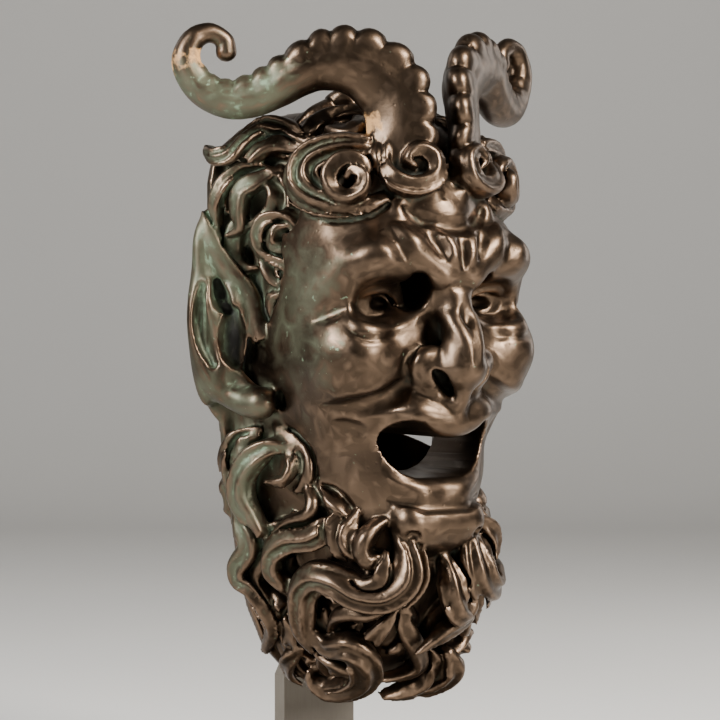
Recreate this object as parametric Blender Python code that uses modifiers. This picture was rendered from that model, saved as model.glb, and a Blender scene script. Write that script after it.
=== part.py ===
"""Fountain mask: a hollow bronze satyr mask carried by its display stand.

The mask is laid out in mask millimetres: across (x, + to the viewer's right),
forward from its flat back (f) and up from the tip of the beard (z).
"""
import math

import bmesh
import bpy
import numpy as np
from mathutils import Matrix, Vector

# Driving sizes, metres
mask_height = 0.340
wall = 0.005
post_width = 0.044
post_thickness = 0.0095
post_setback = 0.016
neck_width = 0.024
neck_top = 0.205
shoulder_start = 0.004
shoulder_rise = 0.020
arm_half_length = 0.0705
arm_height = 0.024
arm_drop = 0.017
arm_thickness = 0.007
arm_boss_width = 0.036
foot_width = 0.170
foot_depth = 0.160
foot_thickness = 0.012
foot_edge = 0.0012
foot_back_reach = 0.045
beard_clearance = 0.060
gap = 0.0003

# Proportions: the mask was measured as 340 units tall
units_tall = 340.0
unit = mask_height / units_tall
wall_units = wall / unit
grain = 2.3 * unit
mask_triangles = 9300
mask_crease = 40.0
plain_crease = 30.0
foot_top = foot_thickness
beard_tip = foot_top + beard_clearance
foot_middle = foot_depth / 2 - foot_back_reach

# Picture layout of the near side: pixels of the photograph
pixel = 340.0 / 668.0
tip_row = 698
middle_column = 335
forward_share = 1.096
across_share = 0.615

# Crest of hair and beard: height, half width, extra half width at the back, reach forward
crest_rows = [
    (-4, 16, 8, 34), (5, 28, 6, 52), (23, 40, 12, 74), (45, 50, 12, 88), (70, 56, 12, 98),
    (100, 60, 13, 100), (137, 61, 17, 92), (170, 60, 20, 84), (200, 60, 22, 84), (240, 63, 22, 96),
    (262, 64, 21, 104), (277, 60, 22, 100), (290, 50, 15, 84), (297, 36, 10, 62), (303, 16, 6, 36),
]
crest_power = 0.8
crest_drop = 10.0
back_zone = 45.0

# Horn: distance from the middle, forward, up, half depth, and its thickness as a share of that
horn_rows = [
    (18.5, 88, 270, 18, 0.46), (19.5, 87.5, 285, 18, 0.46), (19.5, 85.5, 298, 18.5, 0.48),
    (22, 81, 309, 19, 0.52), (30, 75, 318, 18, 0.58), (40, 68, 322, 16.5, 0.66),
    (49, 61, 321, 15, 0.74), (58, 55, 316.5, 12.8, 0.84), (67, 47, 309.5, 11.5, 0.92),
    (77, 39, 304, 10.8, 0.96), (87, 32, 303, 9.8, 1), (97, 25, 309, 8.8, 1),
    (103.5, 21.5, 321, 7.5, 1), (100.5, 23, 332, 6.2, 1), (93, 26, 336, 5.2, 1),
    (86, 29, 332.5, 4.8, 1), (85, 29.5, 327, 5.4, 1),
]
keel_way = (-0.45, 0.50, 0.74)
ring_pitch = 13.0
ring_depth = 0.28
ring_middle = 0.6
ring_power = 0.7

# Locks of the near side: half width, lift over the crest, then picture points with a rise
hair_rows = [
    (12.7, -3, [(366, 150, 0), (340, 142, 3), (312, 152, 5), (298, 174, 7), (304, 196, 8), (326, 207, 8),
        (352, 201, 8), (368, 188, 8), (368, 170, 9), (354, 161, 10), (342, 168, 10), (341, 180, 9),
        (351, 186, 7)]),
    (7, -3, [(392, 150, 0), (386, 165, 2), (395, 180, 4), (412, 186, 5), (431, 178, 6), (432, 160, 7),
        (418, 152, 7), (408, 161, 6), (416, 170, 5)]),
    (5.2, -3, [(316, 233, -2), (304, 233, 1), (293, 221, 3), (278, 216, 5), (263, 221, 6), (257, 236, 6),
        (263, 251, 5), (277, 258, 5), (290, 266, 5), (292, 279, 5), (283, 291, 4), (272, 299, 3),
        (274, 313, 1), (281, 320, -2)]),
    (4, -3, [(300, 243, -2), (285, 249, 2), (273, 243, 4), (275, 229, 5), (289, 225, 4)]),
    (8.5, -3, [(314, 146, -1), (297, 138, 2), (280, 131, 4), (263, 131, 6), (246, 143, 8), (231, 156, 9),
        (216, 157, 9), (206, 150, 8)]),
    (5.2, -4, [(302, 152, 0), (280, 146, 3), (262, 151, 5), (248, 162, 6), (230, 169, 5)]),
    (6.6, -3, [(264, 168, 0), (243, 173, 3), (224, 186, 6), (214, 205, 7), (218, 227, 6)]),
    (5.2, -3, [(262, 177, 0), (244, 185, 3), (231, 199, 5), (229, 219, 5)]),
    (5.6, -3, [(282, 170, -2), (259, 181, 2), (242, 192, 5), (239, 212, 6), (241, 228, 6), (225, 236, 6)]),
    (4.7, -4, [(264, 180, 1), (274, 196, 2), (272, 212, 2), (259, 222, 3), (244, 227, 3)]),
    (7, -4, [(300, 148, 0), (312, 128, 2), (330, 116, 3), (356, 112, 3), (378, 120, 2)]),
]
beard_rows = [
    (8, -3, [(293, 447, -2), (272, 446, 2), (253, 459, 5), (242, 478, 6), (240, 497, 6), (248, 514, 6),
        (257, 530, 6), (262, 550, 5), (271, 569, 5), (287, 585, 5), (300, 597, 4), (303, 618, 3)]),
    (4.7, -3, [(288, 446, 0), (292, 462, 3), (283, 478, 5), (264, 480, 5)]),
    (6.1, -4, [(262, 428, -2), (237, 440, 2), (227, 460, 4), (229, 484, 5), (235, 510, 4)]),
    (7.5, -3, [(234, 498, 2), (241, 526, 4), (249, 545, 5), (237, 566, 6), (238, 582, 6), (250, 592, 5),
        (262, 610, 4), (271, 632, 3), (263, 656, 1)]),
    (4.7, -5, [(258, 543, 0), (263, 560, 2), (253, 578, 3), (263, 596, 2), (278, 620, 1)]),
    (8.9, -3, [(338, 498, -4), (334, 518, 1), (313, 532, 4), (289, 536, 6), (275, 549, 7), (272, 567, 7),
        (281, 582, 6), (297, 594, 5)]),
    (4.7, -3, [(304, 476, -3), (312, 498, 1), (308, 512, 3), (288, 520, 4), (272, 531, 4)]),
    (4.7, -3, [(343, 500, -3), (333, 522, 2), (337, 543, 3), (347, 554, 2)]),
    (5.2, -3, [(358, 505, -4), (348, 527, 2), (348, 542, 4), (358, 554, 3)]),
    (5.6, -3, [(391, 511, -4), (371, 525, 3), (363, 541, 6), (369, 554, 6), (381, 549, 6), (384, 541, 5)]),
    (11.8, -3, [(396, 518, -5), (408, 546, 2), (405, 572, 7), (384, 588, 9), (357, 587, 9), (333, 575, 8),
        (315, 573, 7), (304, 586, 6), (302, 608, 6), (305, 630, 6), (317, 648, 6)]),
    (4.7, -3, [(350, 562, 3), (363, 575, 8), (377, 571, 9), (384, 556, 7), (388, 543, 4)]),
    (5.2, -3, [(329, 630, 2), (336, 613, 4), (350, 606, 6), (368, 607, 7), (384, 601, 7), (395, 590, 4)]),
    (5.6, -3, [(330, 634, 3), (351, 640, 6), (369, 633, 7), (385, 617, 7), (397, 600, 5)]),
    (9.9, -3, [(308, 624, 3), (326, 643, 6), (349, 643, 8), (365, 657, 9), (365, 677, 9), (349, 692, 9),
        (327, 697, 8), (310, 688, 6), (307, 674, 4)]),
    (5.2, -3, [(316, 653, 4), (334, 664, 7), (351, 669, 7), (360, 662, 6)]),
    (5.2, -4, [(302, 648, 0), (289, 663, 3), (289, 682, 3), (301, 694, 2)]),
    (6.6, -8, [(262, 600, -3), (280, 640, -3), (300, 676, 0), (326, 694, 0)]),
]

# Locks under the chin, which have no twin: half width and mask points
chin_rows = [
    (8, [(4, 92, 76), (5, 97, 65), (6, 99, 54), (10, 98, 46), (17, 95, 45), (18, 93, 53)]),
    (7, [(15, 94, 60), (22, 91, 53), (18, 91, 44), (5, 90, 35), (-7, 84, 25)]),
    (7.5, [(3, 76, 26), (10, 69, 20), (17, 64, 13), (14, 60, 5), (2, 58, 1), (-10, 58, 0)]),
    (5.6, [(-12, 84, 52), (-13, 82, 42), (-5, 78, 31), (0, 74, 25), (6, 68, 16), (0, 63, 11),
        (-15, 60, 9)]),
    (8.9, [(27, 82, 88), (30, 87, 72), (27, 88, 54), (33, 80, 38)]),
    (8, [(20, 74, 24), (28, 68, 12), (22, 58, 3), (8, 54, 0)]),
]

# Rounded masses of the head; those with a side are mirrored: centre, half sizes
middle_masses = [
    ((0, 44, 222), (57, 62, 64)), ((0, 20, 170), (60, 36, 110)), ((0, 69, 93), (27, 24, 20)),
    ((0, 84, 148), (34, 25, 20)), ((0, 92, 226), (22, 21, 20)),
]
side_masses = [
    ((20, 44, 185), (42, 52, 66)), ((16, 44, 120), (34, 46, 42)), ((30, 50, 226), (31, 50, 42)),
    ((38, 60, 178), (23, 34, 42)), ((45, 80, 177), (18, 19, 21)), ((13, 73, 112), (17, 19, 22)),
]
core_masses = [
    ((0, 40, 222), (57, 46, 64)), ((0, 20, 170), (60, 36, 110)), ((0, 80, 148), (36, 24, 20)),
    ((0, 68, 92), (28, 22, 18)),
]
core_side_masses = [
    ((20, 40, 185), (42, 46, 66)), ((16, 44, 120), (34, 46, 42)), ((30, 44, 226), (31, 44, 42)),
    ((38, 58, 178), (23, 34, 42)), ((14, 74, 112), (17, 19, 22)),
]
skin_margin = 1.0

# Features that stand on the head: points and a radius at each
middle_features = [
    ([(0, 98, 220), (0, 104, 211), (0, 106, 203), (0, 109, 191), (0, 112, 181), (0, 113, 171)],
     [11, 9, 8.5, 9, 10.5, 12.5]),
    ([(0, 114, 164), (0, 113, 156), (0, 109, 150)], [5, 4.5, 5]),
    ([(-37, 80, 141), (-28, 92, 147), (-17, 100, 147), (-7, 104, 143), (0, 105, 140), (7, 104, 143),
      (17, 100, 147), (28, 92, 147), (37, 80, 141)], [4.5, 7, 8.5, 8.5, 7.5, 8.5, 8.5, 7, 4.5]),
    ([(-23, 85, 117), (-14, 91, 111), (0, 95, 109), (14, 91, 111), (23, 85, 117)],
     [3.5, 5.5, 6, 5.5, 3.5]),
    ([(-28, 97, 249), (-14, 103, 250), (0, 105, 250), (14, 103, 250), (28, 97, 249)], [5, 9, 10, 9, 5]),
]
side_features = [
    ([(30, 98, 225), (37, 95, 227), (44, 87, 222.5), (50, 76, 213), (55, 62, 202)], [8, 10, 9.5, 7.5, 5]),
    ([(31, 101, 238), (25, 104, 230.5), (16, 107, 221), (9, 109, 215), (2, 110, 216)], [3.5, 5, 6, 5.5, 4]),
    ([(24, 104, 241), (13, 108, 235), (5, 109, 226)], [3, 4, 4]),
    ([(17, 84, 201), (24, 88, 210.5), (34, 88.5, 213.5), (44, 83, 210), (54, 73, 200)],
     [2, 2.8, 3.2, 3, 2.4]),
    ([(18, 84, 199), (25, 87, 194), (34, 87.5, 191.5), (43, 82.5, 192.5), (53, 74, 198)],
     [2, 3, 3.5, 3.2, 2.2]),
    ([(12, 97, 191), (20, 94, 181), (28, 91, 171), (40, 85, 162), (51, 75, 157)], [3, 5, 5.5, 4.5, 3]),
    ([(17, 92, 90), (17, 92, 93)], [7, 7]),
    ([(84, 8, 249), (90, 7, 240), (92, 6, 230), (89, 6, 219), (86, 7, 212)], [3, 3.8, 4.2, 4, 3.4]),
    ([(86, 6, 217), (90.5, 6, 208), (93, 6, 198), (93.5, 6.5, 188), (91, 8, 176), (83.5, 11, 165),
      (76, 16, 156), (70, 25, 151)], [3, 3.8, 4.2, 4.2, 5, 6.2, 7, 7.4]),
    ([(86, 12, 212), (86.5, 13, 202), (82.5, 14.5, 190), (79, 15.5, 178), (74, 18, 167), (68, 25, 158)],
     [3, 3.8, 4, 4, 4, 4]),
    ([(84, 9, 248), (83, 11, 234), (78, 14, 222), (70.5, 19, 210), (66, 24, 197), (63.5, 29, 183)],
     [4, 6.5, 7.5, 7.5, 7.5, 5.5]),
]
side_lumps = [
    ((35.5, 71.5, 200.5), (18, 15, 14.5)), ((13, 100, 169), (10, 13, 11)), ((67, 32, 151), (8.6, 9, 8.4)),
    ((72, 3, 172), (14, 5.5, 26)), ((84, 6, 193), (10.5, 7.5, 44)), ((77, 12, 166), (10, 9, 15)),
]

# Hollows cut into the head before the features go on
socket_rows = [((35, 103, 203), (18, 22, 12.5)), ((19, 98, 212), (9, 17, 14))]
# Hollows cut last: the ear's mouth and the nostrils
ear_hollow = ((72, 20, 184), (5.5, 9, 18))
ear_cup = ((88, 15, 192), (3, 6, 20))
nostril = ((10.5, 112, 164), (4.4, 9, 5.6))

# Mouth: half its outline, corner to corner, as across and up
mouth_upper = [(7, 134.5), (13, 137.5), (18, 141.8), (24, 143.8), (31, 140.5)]
mouth_corner = (37, 136)
mouth_lower = [(33, 130.5), (27, 123), (21.5, 118.8), (14, 115.8)]
mouth_middle_top = 133.5
mouth_middle_low = 114.5
mouth_back = 50.0
mouth_front = 145.0

# Beard closed at its back, below an arch seen through the mouth: top at the middle, fall per unit squared
back_wall_top = 137.0
back_wall_fall = 0.004
back_wall_foot = 8.0
back_wall_inset = 1.0

# Lofts of the plain head and of the hollow in it: reach behind the back plane, foot, top
head_loft = (-14.0, 6.0, 299.0)
core_loft = (-30.0, 12.0, 289.0)
loft_sides = 48
loft_rings = 34

# Block that takes off all that lies behind the back plane: width, depth, height
slab_units = (500.0, 100.0, 600.0)

bronze_colour = (0.085, 0.062, 0.045, 1.0)
steel_colour = (0.20, 0.18, 0.16, 1.0)


def place(point):
    """World position of a mask point."""
    return Vector((point[0] * unit, (foot_middle - point[1] * unit), beard_tip + point[2] * unit))


def mirrored(points, side):
    return [(p[0] * side, p[1], p[2]) for p in points]


def smooth_line(points, values, steps):
    """Points and values resampled along a Catmull-Rom curve."""
    rows = np.array([tuple(p) + (v,) for p, v in zip(points, values)], float)
    rows = np.vstack([2 * rows[0] - rows[1], rows, 2 * rows[-1] - rows[-2]])
    out = []
    for a, b, c, d in zip(rows, rows[1:], rows[2:], rows[3:]):
        for t in np.linspace(0, 1, steps, endpoint=False):
            out.append(0.5 * (2 * b + (c - a) * t + (2 * a - 5 * b + 4 * c - d) * t**2
                              + (3 * b - a - 3 * c + d) * t**3))
    out.append(rows[-2])
    out = np.array(out)
    return out[:, :3], out[:, 3]


def crest(azimuth, height, lift):
    """Point on the crest of hair and beard."""
    heights = [row[0] for row in crest_rows]
    half, flare, reach = (np.interp(height, heights, [row[i] for row in crest_rows]) for i in (1, 2, 3))
    angle = math.radians(azimuth)
    forward = (reach + lift) * abs(math.cos(angle))**crest_power
    width = half + lift + flare * max(0.0, 1 - forward / back_zone)
    return np.array([width * math.copysign(abs(math.sin(angle))**crest_power, math.sin(angle)),
                     forward, height])


def laid(column, row, lift):
    """Near-side crest point that the picture shows at a column and row."""
    height = (tip_row - row) * pixel
    options = np.array([crest(-azimuth, height, lift) for azimuth in np.linspace(-12, 96, 217)])
    columns = middle_column + forward_share * options[:, 1] + options[:, 0] / across_share
    return options[int(np.argmin(np.abs(columns - column)))]


def strands(points, half_width):
    """A lock as three strands side by side, with the radius of each along its length."""
    line, _ = smooth_line(points, [0] * len(points), 4)
    along = np.gradient(line, axis=0)
    along /= np.linalg.norm(along, axis=1)[:, None]
    outward = line - np.array([0, 20, 170])
    outward[:, 2] *= 0.25
    outward -= (outward * along).sum(1)[:, None] * along
    outward /= np.linalg.norm(outward, axis=1)[:, None]
    across = np.cross(along, outward)
    share = np.linspace(0, 1, len(line))
    half = half_width * np.interp(share, [0, 0.25, 0.5, 0.75, 1], [0.7, 1, 0.95, 0.75, 0.3])
    rows = []
    for offset, size, rise in ((-0.52, 0.50, 0.0), (0.0, 0.52, 0.14), (0.52, 0.50, 0.0)):
        rows.append((line + across * (half * offset)[:, None] + outward * (half * rise)[:, None],
                     half * size))
    return rows


def horn_tubes(side):
    """A horn as three tubes side by side, the first of them swelling in rings."""
    points = mirrored([row[:3] for row in horn_rows], side)
    line, depth = smooth_line(points, [row[3] for row in horn_rows], 8)
    _, share = smooth_line(points, [row[4] for row in horn_rows], 8)
    along = np.gradient(line, axis=0)
    along /= np.linalg.norm(along, axis=1)[:, None]
    way = np.array(keel_way) * (side, 1, 1)
    outward = way - (along @ way)[:, None] * along
    outward /= np.linalg.norm(outward, axis=1)[:, None]
    run = np.concatenate([[0], np.cumsum(np.linalg.norm(np.diff(line, axis=0), axis=1))])
    swell = np.abs(np.sin(math.pi * run / ring_pitch))**ring_power
    radius = depth * share
    shift = outward * (depth - radius)[:, None]
    ringed = radius * (1 + ring_depth * (swell - ring_middle))
    return [(line + shift, ringed), (line, radius), (line - shift, radius)]


def joined(name, meshes):
    """One mesh from several."""
    work = bmesh.new()
    for mesh in meshes:
        work.from_mesh(mesh)
        bpy.data.meshes.remove(mesh)
    mesh = bpy.data.meshes.new(name)
    work.to_mesh(mesh)
    work.free()
    return mesh


def lumps(rows):
    """Ellipsoids, given as centre and half sizes."""
    work = bmesh.new()
    for centre, half in rows:
        size = Matrix.Diagonal(Vector(half) * unit).to_4x4()
        bmesh.ops.create_uvsphere(work, u_segments=32, v_segments=20, radius=1.0,
                                  matrix=Matrix.Translation(place(centre)) @ size)
    mesh = bpy.data.meshes.new("lumps")
    work.to_mesh(mesh)
    work.free()
    return mesh


def tubes(lines):
    """Round tubes with a radius at each point, from one curve object."""
    curve = bpy.data.curves.new("tubes", "CURVE")
    curve.dimensions = "3D"
    curve.bevel_depth = unit
    curve.bevel_resolution = 2
    curve.use_fill_caps = True
    for points, radii in lines:
        spline = curve.splines.new("POLY")
        spline.points.add(len(points) - 1)
        for spot, point, radius in zip(spline.points, points, radii):
            spot.co = (*place(point), 1)
            spot.radius = radius
    return curve_mesh(curve, Matrix())


def curve_mesh(curve, turn):
    """Closed mesh of a curve, moved by a matrix; the curve goes away."""
    holder = bpy.data.objects.new("outline", curve)
    cutters.objects.link(holder)
    mesh = bpy.data.meshes.new_from_object(holder.evaluated_get(bpy.context.evaluated_depsgraph_get()))
    bpy.data.objects.remove(holder)
    bpy.data.curves.remove(curve)
    work = bmesh.new()
    work.from_mesh(mesh)
    bmesh.ops.remove_doubles(work, verts=work.verts, dist=1e-6)
    work.transform(turn)
    bmesh.ops.recalc_face_normals(work, faces=work.faces)
    work.to_mesh(mesh)
    work.free()
    return mesh


def rounded_ends(points, radii):
    """Tube and the lumps that round its two ends."""
    line, size = smooth_line(points, radii, 5)
    ends = [(tuple(line[i]), (size[i],) * 3) for i in (0, -1)]
    return (line, size), ends


def loft(drop, back, low, high):
    """Body under the crest, lowered by a drop, from a height to a height."""
    work = bmesh.new()
    rings = []
    for height in np.linspace(low, high, loft_rings):
        ring = []
        for i in range(loft_sides + 1):
            x, f, z = crest(-90 + 180 * i / loft_sides, height, -drop)
            ring.append(work.verts.new(place((x, max(f, 0.0), z))))
        x_end = abs(crest(-90, height, -drop)[0])
        for x in (x_end, -x_end):
            ring.append(work.verts.new(place((x, back, height))))
        rings.append(ring)
    for lower, upper in zip(rings, rings[1:]):
        for i in range(len(lower)):
            j = (i + 1) % len(lower)
            work.faces.new((lower[i], lower[j], upper[j], upper[i]))
    work.faces.new(rings[0])
    work.faces.new(list(reversed(rings[-1])))
    bmesh.ops.recalc_face_normals(work, faces=work.faces)
    mesh = bpy.data.meshes.new("loft")
    work.to_mesh(mesh)
    work.free()
    return mesh


def body(name, mesh, collection):
    thing = bpy.data.objects.new(name, mesh)
    collection.objects.link(thing)
    return thing


def cutter(name, mesh):
    thing = body(name, mesh, cutters)
    thing.hide_render = True
    thing.display_type = "WIRE"
    return thing


def fused(thing, size):
    """Adds a voxel remesh that melts crossing pieces into one skin."""
    step = thing.modifiers.new("fuse", "REMESH")
    step.mode = "VOXEL"
    step.voxel_size = size
    step.adaptivity = 0.0


def cut_by(thing, tool):
    step = thing.modifiers.new("cut", "BOOLEAN")
    step.operation = "DIFFERENCE"
    step.solver = "EXACT"
    step.object = tool


def baked(thing):
    """Mesh of an object with its modifiers applied; the object goes away."""
    mesh = bpy.data.meshes.new_from_object(thing.evaluated_get(bpy.context.evaluated_depsgraph_get()))
    bpy.data.objects.remove(thing)
    return mesh


def main_body(mesh):
    """Drops specks that came loose from the largest body of a mesh."""
    work = bmesh.new()
    work.from_mesh(mesh)
    left = set(work.verts)
    groups = []
    while left:
        stack = [left.pop()]
        group = set(stack)
        while stack:
            for edge in stack.pop().link_edges:
                for vert in edge.verts:
                    if vert in left:
                        left.discard(vert)
                        group.add(vert)
                        stack.append(vert)
        groups.append(group)
    groups.sort(key=len)
    for group in groups[:-1]:
        bmesh.ops.delete(work, geom=list(group), context="VERTS")
    work.to_mesh(mesh)
    work.free()
    return mesh


def clean_cutter(name, meshes):
    """A cutter whose crossing pieces are fused first."""
    raw = body(name, joined(name, meshes), cutters)
    fused(raw, grain)
    return cutter(name, baked(raw))


def prism(outline, back, front):
    """Flat outline, as across and up, pulled forward from one depth to another."""
    curve = bpy.data.curves.new("outline", "CURVE")
    curve.dimensions = "2D"
    curve.fill_mode = "BOTH"
    curve.extrude = (front - back) / 2 * unit
    spline = curve.splines.new("POLY")
    spline.points.add(len(outline) - 1)
    for spot, (x, z) in zip(spline.points, outline):
        spot.co = (x * unit, z * unit, 0, 1)
    spline.use_cyclic_u = True
    stand_up = Matrix.Translation(place((0, (back + front) / 2, 0))) @ Matrix.Rotation(math.pi / 2, 4, "X")
    return curve_mesh(curve, stand_up)


def mouth_prism():
    right = [(0, mouth_middle_top)] + mouth_upper + [mouth_corner] + mouth_lower + [(0, mouth_middle_low)]
    return prism(right + [(-x, z) for x, z in reversed(right[1:-1])], mouth_back, mouth_front)


def back_wall():
    """Plate that closes the back of the beard, with an arched top."""
    def half(height):
        return abs(crest(-90, height, -crest_drop)[0]) - back_wall_inset
    top_half = half(back_wall_top - back_wall_fall * half(back_wall_top)**2)
    rim = [(half(z), z) for z in np.linspace(back_wall_foot, back_wall_top, 14)
           if z < back_wall_top - back_wall_fall * half(z)**2]
    arch = [(x, back_wall_top - back_wall_fall * x * x) for x in np.linspace(top_half, 0, 7)]
    right = rim + arch
    outline = right + [(-x, z) for x, z in reversed(right[:-1])]
    return prism(outline, -back_wall_inset, wall_units)


def both_sides(rows):
    return [((centre[0] * side, centre[1], centre[2]), half) for side in (-1, 1) for centre, half in rows]


def shrunk(rows, amount):
    return [(centre, tuple(h - amount for h in half)) for centre, half in rows]


def lock_lines():
    """Every strand of hair and beard, near side, its twin, and the chin's own."""
    lines = []
    for half_width, lift, spots in hair_rows + beard_rows:
        near = [laid(column, row, lift + rise) for column, row, rise in spots]
        for line, radius in strands(near, half_width):
            lines.append((line, radius))
            lines.append((line * np.array([-1, 1, 1]), radius))
    for half_width, points in chin_rows:
        lines.extend(strands([np.array(p, float) for p in points], half_width))
    return lines


def make_mask():
    # head with its eye sockets
    head = body("head", joined("head", [lumps(middle_masses + both_sides(side_masses)),
                                        loft(crest_drop, *head_loft)]), cutters)
    fused(head, grain)
    cut_by(head, clean_cutter("sockets", [lumps(both_sides(socket_rows))]))
    skin = baked(head)
    # features, locks and horns stand on it
    lines, ends = [], []
    for side in (-1, 1):
        for points, radii in side_features:
            line, caps = rounded_ends(mirrored(points, side), radii)
            lines.append(line)
            ends.extend(caps)
        horn = horn_tubes(side)
        lines.extend(horn)
        line, radius = horn[1]
        ends.append((tuple(line[-1]), (radius[-1],) * 3))
    for points, radii in middle_features:
        line, caps = rounded_ends(points, radii)
        lines.append(line)
        ends.extend(caps)
    relief = joined("relief", [skin, tubes(lines), tubes(lock_lines()),
                               lumps(ends + both_sides(side_lumps))])
    face = body("face", relief, cutters)
    fused(face, grain)
    cut_by(face, clean_cutter("inside", [
        lumps(shrunk(core_masses + both_sides(core_side_masses), wall_units + skin_margin)
              + both_sides([ear_hollow, ear_cup, nostril])),
        loft(crest_drop + wall_units, *core_loft),
        mouth_prism(),
    ]))
    # even out, thin out, then take off the flat back
    cast = body("cast", joined("cast", [baked(face), back_wall()]), cutters)
    fused(cast, grain)
    evening = cast.modifiers.new("even", "SMOOTH")
    evening.factor = 0.5
    evening.iterations = 1
    skin = main_body(baked(cast))
    skin.calc_loop_triangles()
    mask = body("mask", skin, parts)
    thin = mask.modifiers.new("thin", "DECIMATE")
    thin.ratio = mask_triangles / len(skin.loop_triangles)
    thin.use_collapse_triangulate = True
    slab = bmesh.new()
    slab_middle = place((0, -slab_units[1] / 2, units_tall / 2))
    bmesh.ops.create_cube(slab, size=1.0, matrix=Matrix.Translation(slab_middle)
                          @ Matrix.Diagonal([side * unit for side in slab_units] + [1]))
    slab_mesh = bpy.data.meshes.new("back")
    slab.to_mesh(slab_mesh)
    slab.free()
    cut_by(mask, cutter("back", slab_mesh))
    finish(mask, bronze, mask_crease)


def finish(thing, material, angle=plain_crease):
    thing.data.materials.clear()
    thing.data.materials.append(material)
    thing.data.shade_smooth()
    thing.data.set_sharp_from_angle(angle=math.radians(angle))


def flat_bar(name, outline, thickness, middle, turn):
    """Flat outline pulled to a thickness, as a mesh object in its place."""
    curve = bpy.data.curves.new(name, "CURVE")
    curve.dimensions = "2D"
    curve.fill_mode = "BOTH"
    curve.extrude = thickness / 2
    spline = curve.splines.new("POLY")
    spline.points.add(len(outline) - 1)
    for spot, (x, y) in zip(spline.points, outline):
        spot.co = (x, y, 0, 1)
    spline.use_cyclic_u = True
    mesh = curve_mesh(curve, Matrix())
    mesh.name = name
    thing = body(name, mesh, parts)
    thing.location = middle
    thing.rotation_euler = turn
    return thing


def make_post():
    """Upright bar with sloped shoulders and a narrower neck behind the mask."""
    wide, narrow = post_width / 2, neck_width / 2
    bottom = foot_top + gap
    low_shoulder = beard_tip + shoulder_start
    high_shoulder = low_shoulder + shoulder_rise
    top = beard_tip + neck_top
    outline = [(-wide, bottom), (wide, bottom), (wide, low_shoulder), (narrow, high_shoulder),
               (narrow, top), (-narrow, top), (-narrow, high_shoulder), (-wide, low_shoulder)]
    back = foot_middle + post_setback + post_thickness / 2
    post = flat_bar("post", outline, post_thickness, (0, back, 0), (math.pi / 2, 0, 0))
    finish(post, steel)


def make_arm():
    """Flat bar across the mask's back rim, with a boss that meets the post."""
    front = foot_middle + gap
    back = front + arm_thickness
    boss = foot_middle + post_setback - gap
    half, middle, narrow_boss = arm_half_length, arm_boss_width / 2, neck_width / 2
    outline = [(-half, front), (half, front), (half, back), (middle, back), (narrow_boss, boss),
               (-narrow_boss, boss), (-middle, back), (-half, back)]
    arm = flat_bar("cross_arm", outline, arm_height, (0, 0, beard_tip + neck_top - arm_drop), (0, 0, 0))
    finish(arm, steel)


def make_foot():
    bpy.ops.mesh.primitive_cube_add(size=1.0, location=(0, 0, foot_thickness / 2))
    foot = bpy.context.object
    foot.name = "foot_plate"
    foot.data.name = "foot_plate"
    foot.data.transform(Matrix.Diagonal((foot_width, foot_depth, foot_thickness, 1)))
    for holder in list(foot.users_collection):
        holder.objects.unlink(foot)
    parts.objects.link(foot)
    edge = foot.modifiers.new("edge", "BEVEL")
    edge.width = foot_edge
    edge.segments = 2
    finish(foot, steel)


def metal(name, colour, roughness):
    material = bpy.data.materials.new(name)
    material.use_nodes = True
    shader = material.node_tree.nodes["Principled BSDF"]
    shader.inputs["Base Color"].default_value = colour
    shader.inputs["Metallic"].default_value = 1.0
    shader.inputs["Roughness"].default_value = roughness
    return material


for old in list(bpy.data.objects):
    bpy.data.objects.remove(old)
parts = bpy.data.collections.new("fountain_mask")
cutters = bpy.data.collections.new("cutters")
bpy.context.scene.collection.children.link(parts)
bpy.context.scene.collection.children.link(cutters)
bronze = metal("bronze", bronze_colour, 0.35)
steel = metal("steel", steel_colour, 0.45)
make_foot()
make_post()
make_arm()
make_mask()
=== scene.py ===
import math
import time

import bpy
import numpy as np
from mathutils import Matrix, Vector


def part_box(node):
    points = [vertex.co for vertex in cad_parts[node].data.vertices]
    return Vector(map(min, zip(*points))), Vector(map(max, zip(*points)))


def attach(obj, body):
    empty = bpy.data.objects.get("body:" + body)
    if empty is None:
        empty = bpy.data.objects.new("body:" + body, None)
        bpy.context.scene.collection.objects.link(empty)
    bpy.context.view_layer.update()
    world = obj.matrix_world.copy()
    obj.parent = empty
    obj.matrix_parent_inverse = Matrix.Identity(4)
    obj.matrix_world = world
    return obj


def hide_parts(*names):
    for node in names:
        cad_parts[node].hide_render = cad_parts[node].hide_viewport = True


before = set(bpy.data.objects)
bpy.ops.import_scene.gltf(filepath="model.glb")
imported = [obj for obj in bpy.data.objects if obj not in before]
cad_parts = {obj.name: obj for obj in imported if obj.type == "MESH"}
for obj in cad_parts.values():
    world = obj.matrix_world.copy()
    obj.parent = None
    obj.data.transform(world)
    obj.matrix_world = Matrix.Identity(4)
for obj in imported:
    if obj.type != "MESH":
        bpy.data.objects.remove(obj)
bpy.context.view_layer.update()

import openvdb
from mathutils import Vector

startTime = time.time()

cast = {
    "backPlane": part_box("mask")[1][1],  # world y of the flat back
    "beardTip": 0.072,  # world z of the beard's tip
    "unit": 0.001,  # the mask is laid out in millimetres
    "step": 1.15,  # grid of the clay
    "low": (-112, -14, -10),  # corners of the block of clay
    "high": (112, 136, 346),
    "outside": 30.0,  # value of the clay far from any surface
    "wall": 5.0,
    "faces": 190000,  # triangles kept in the finished cast
    "hollows": {"fineHollow": 2.6, "wideHollow": 8.0},  # millimetres over which a hollow is felt
}


def report(text):
    print("%-44s %5.1f s" % (text, time.time() - startTime))


# Clay: a block of numbers, negative inside, over x (right), f (forward) and z (up)

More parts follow.
